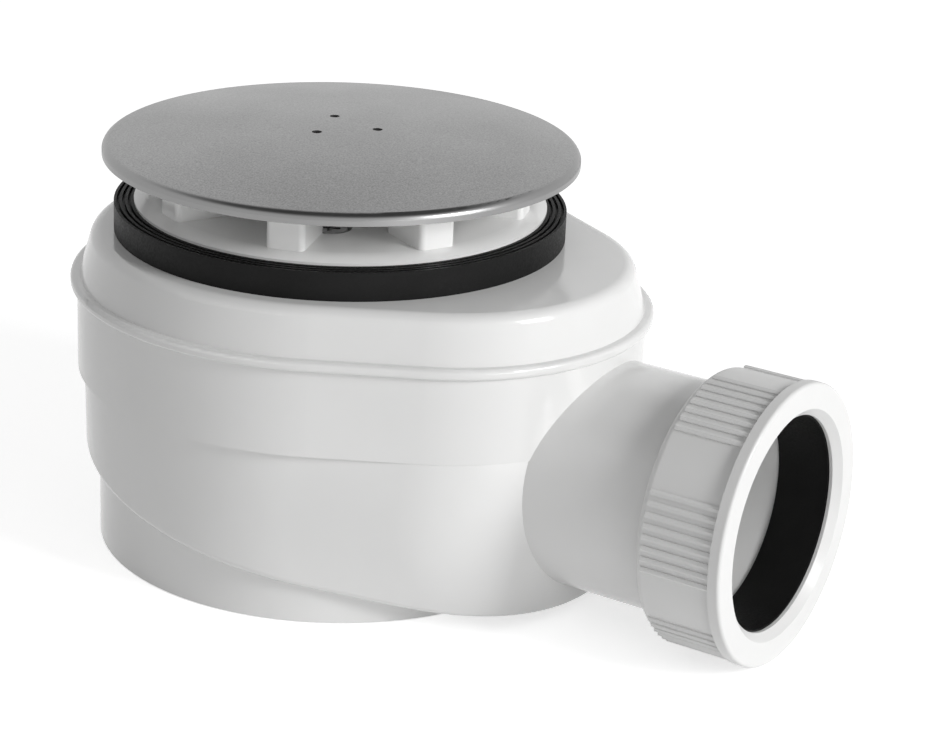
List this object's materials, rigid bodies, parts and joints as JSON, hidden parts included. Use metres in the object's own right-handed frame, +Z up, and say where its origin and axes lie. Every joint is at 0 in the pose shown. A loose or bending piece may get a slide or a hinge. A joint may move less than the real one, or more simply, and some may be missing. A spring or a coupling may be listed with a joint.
{
  "type": "waste trap",
  "caption": "Low shower tray waste trap with a domed steel cover, a clamped tray gasket, a stepped egg-shaped body and a compression nut outlet for a drain pipe.",
  "frame": {"origin": "on the waste axis, at the underside of the foot", "axes": "+Z up the waste axis to the cover, +X along the outlet towards the pipe, +Y completes the right-handed frame"},
  "size_m": [0.1911, 0.1304, 0.1038],
  "materials": {
    "white_plastic": "glossy white moulded plastic",
    "nut_plastic": "satin white moulded plastic",
    "black_rubber": "matte black rubber",
    "cover_steel": "fine satin stainless steel",
    "screw_steel": "plain stainless steel",
    "insert_brass": "turned brass"
  },
  "bodies": {
    "trap": {"body_bottom": "white_plastic", "body_top": "white_plastic", "screw_inserts": "insert_brass", "tray_gasket": "black_rubber", "flange": "white_plastic", "flange_screws": "screw_steel", "dip_tube": "white_plastic", "dip_tube_o_ring": "black_rubber", "cover": "cover_steel", "cover_carrier": "white_plastic"},
    "seal": {"outlet_seal": "black_rubber"},
    "nut": {"outlet_nut": "nut_plastic"}
  },
  "joints": [
    {"name": "nut_advance", "type": "slide", "parent": "trap", "child": "seal", "axis": [1, 0, 0], "range_m": [0, 0.0062]},
    {"name": "nut_turn", "type": "hinge", "parent": "seal", "child": "nut", "pos_m": [0.115, 0, 0.0335], "axis": [1, 0, 0], "range_deg": [0, 720]}
  ],
  "couplings": [
    {"joint": "nut_advance", "follows": "nut_turn", "m_per_rad": 0.000477}
  ]
}
